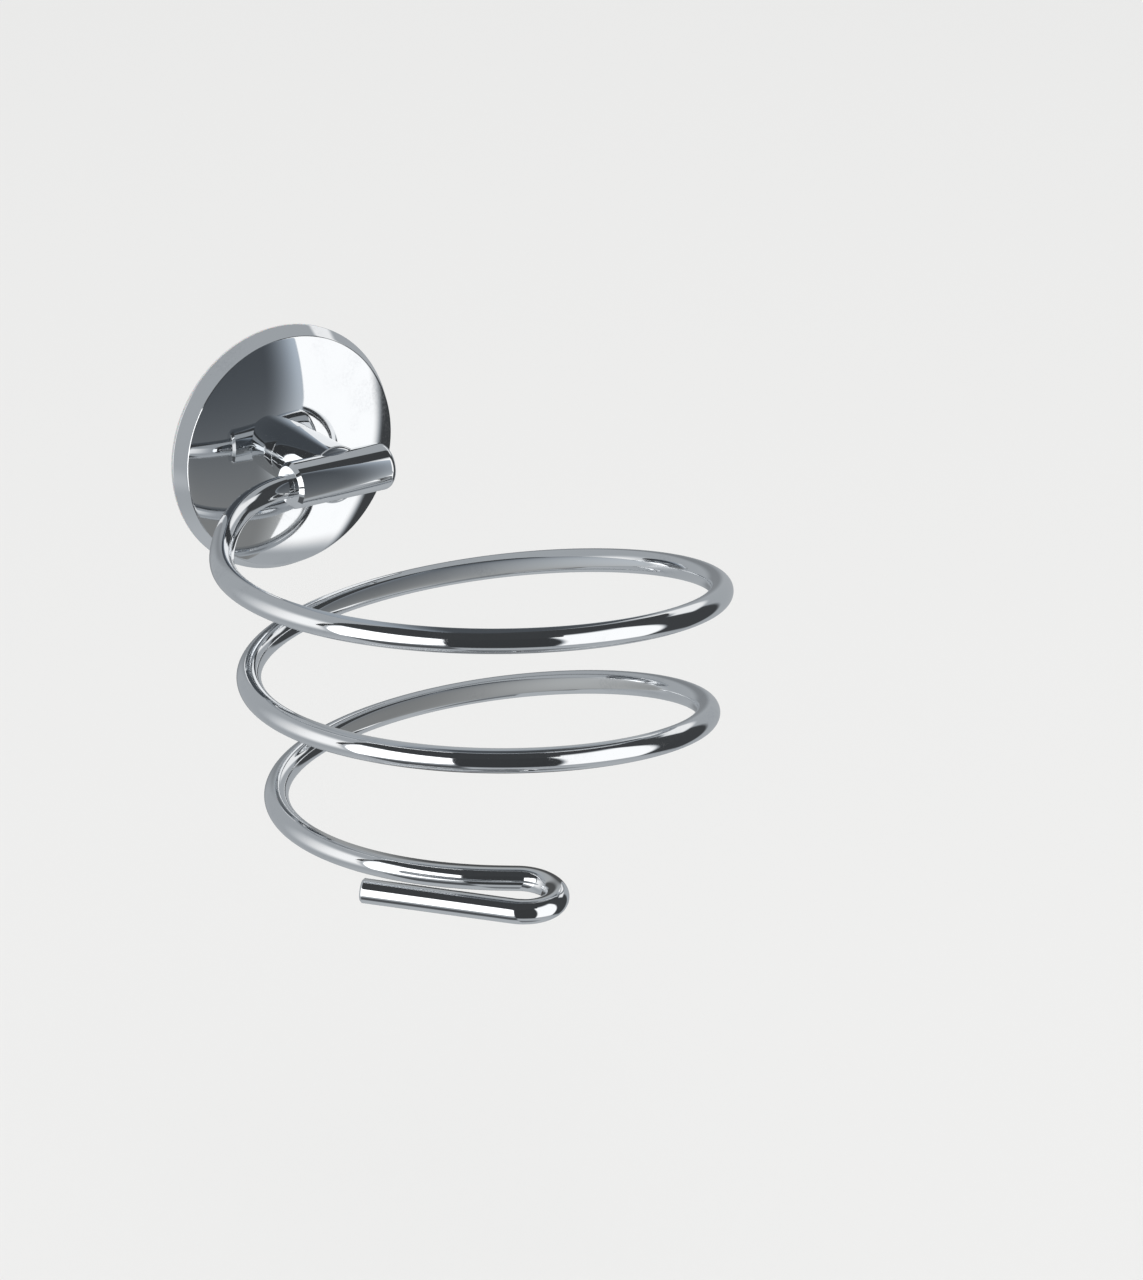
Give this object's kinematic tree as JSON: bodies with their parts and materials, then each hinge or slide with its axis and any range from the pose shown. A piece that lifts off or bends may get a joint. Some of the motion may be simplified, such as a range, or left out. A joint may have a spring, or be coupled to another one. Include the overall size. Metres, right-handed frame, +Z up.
{
  "type": "hair dryer holder",
  "caption": "Wall-mounted chrome wire spiral that holds a hair dryer nozzle down, with a hook for the plug and a round rosette over a concealed wall plate.",
  "frame": {"origin": "middle of the wall plate's back face, halfway between its two screw holes, on the wall plane", "axes": "+Z up along the wall, -Y out of the wall into the room, +X to the right as seen from the room"},
  "size_m": [0.1051, 0.1348, 0.0838],
  "materials": {
    "chromed_wire": "polished chrome on spring-hard steel wire",
    "chromed_brass": "polished chrome on turned and pressed brass",
    "cast_zinc": "raw cast and machined zinc",
    "spring_steel": "blued spring steel",
    "screw_steel": "stainless steel",
    "soft_ring": "translucent grey soft plastic"
  },
  "bodies": {
    "wall_fixing": {"wall_plate": "cast_zinc", "spigot": "cast_zinc"},
    "holder": {"rosette": "chromed_brass", "rosette_retainer": "spring_steel", "backing_ring": "soft_ring", "post": "chromed_brass", "wire_socket": "chromed_brass"},
    "post_lock": {"post_grub_screw": "screw_steel"},
    "wire_lock": {"wire_clamp_screw": "screw_steel"},
    "spiral": {"spiral_wire": "chromed_wire"}
  },
  "joints": [
    {"name": "holder_lift_off", "type": "slide", "parent": "wall_fixing", "child": "holder", "axis": [0, -1, 0], "range_m": [0, 0.03], "stiffness_N_per_m": 60},
    {"name": "post_lock_travel", "type": "slide", "parent": "holder", "child": "post_lock", "axis": [0, 0, -1], "range_m": [0, 0.002], "stiffness_N_per_m": 40},
    {"name": "wire_lock_travel", "type": "slide", "parent": "holder", "child": "wire_lock", "axis": [0, 1, 0], "range_m": [0, 0.0015], "stiffness_N_per_m": 40},
    {"name": "spiral_tilt", "type": "hinge", "parent": "holder", "child": "spiral", "pos_m": [0, -0.023, 0], "axis": [1, 0, 0], "range_deg": [-6, 6], "stiffness_Nm_per_rad": 5}
  ]
}
